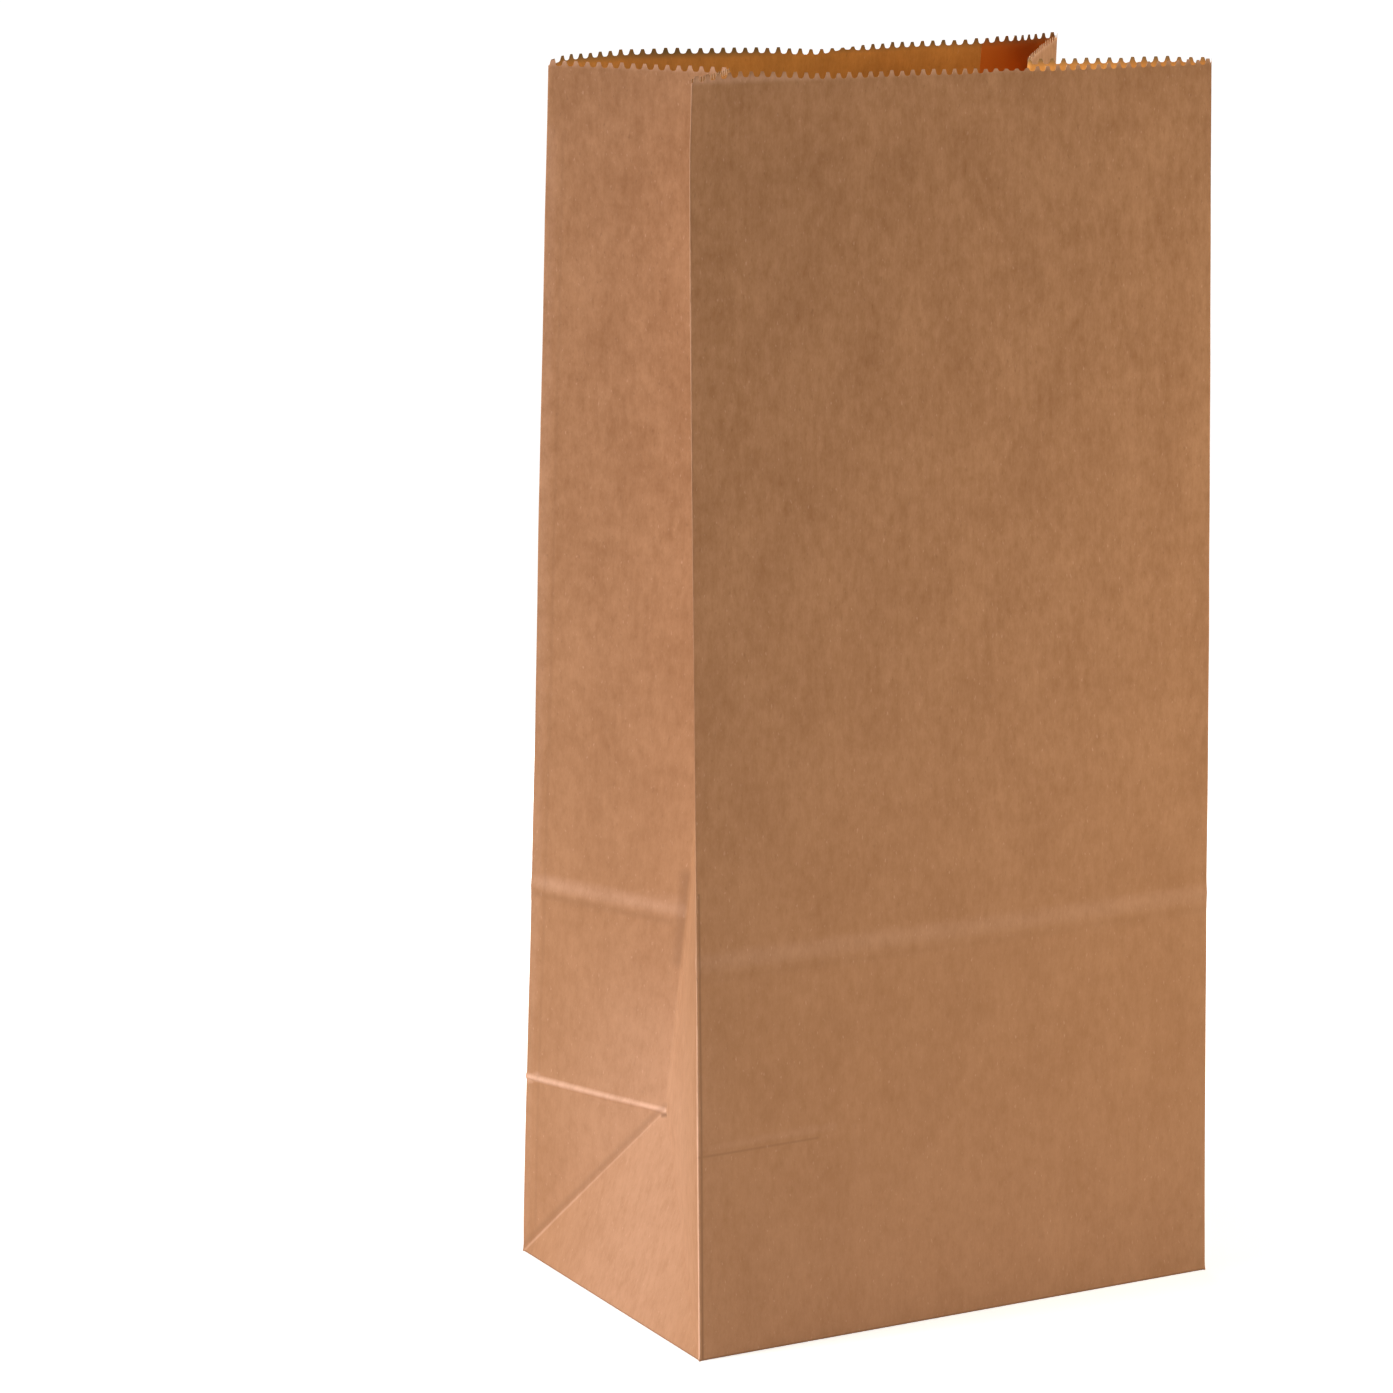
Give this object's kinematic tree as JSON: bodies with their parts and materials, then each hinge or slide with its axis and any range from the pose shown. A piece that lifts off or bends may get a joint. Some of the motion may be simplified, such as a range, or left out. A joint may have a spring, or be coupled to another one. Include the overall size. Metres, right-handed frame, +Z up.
{
  "type": "paper lunch bag",
  "caption": "Free-standing brown kraft paper lunch bag, open at the top, with pleated side gussets, a flat folded bottom and a saw-cut rim.",
  "frame": {"origin": "middle of the underside of the flat bottom", "axes": "+Z up through the open mouth, +X along the front panel to the right, +Y from the front panel to the back panel, which has the glued lap"},
  "size_m": [0.1349, 0.086, 0.2778],
  "materials": {
    "kraft_paper": "matte uncoated brown kraft, with fine fibres and flecks"
  },
  "bodies": {
    "root": {"paper_bag": "kraft_paper"}
  },
  "joints": []
}
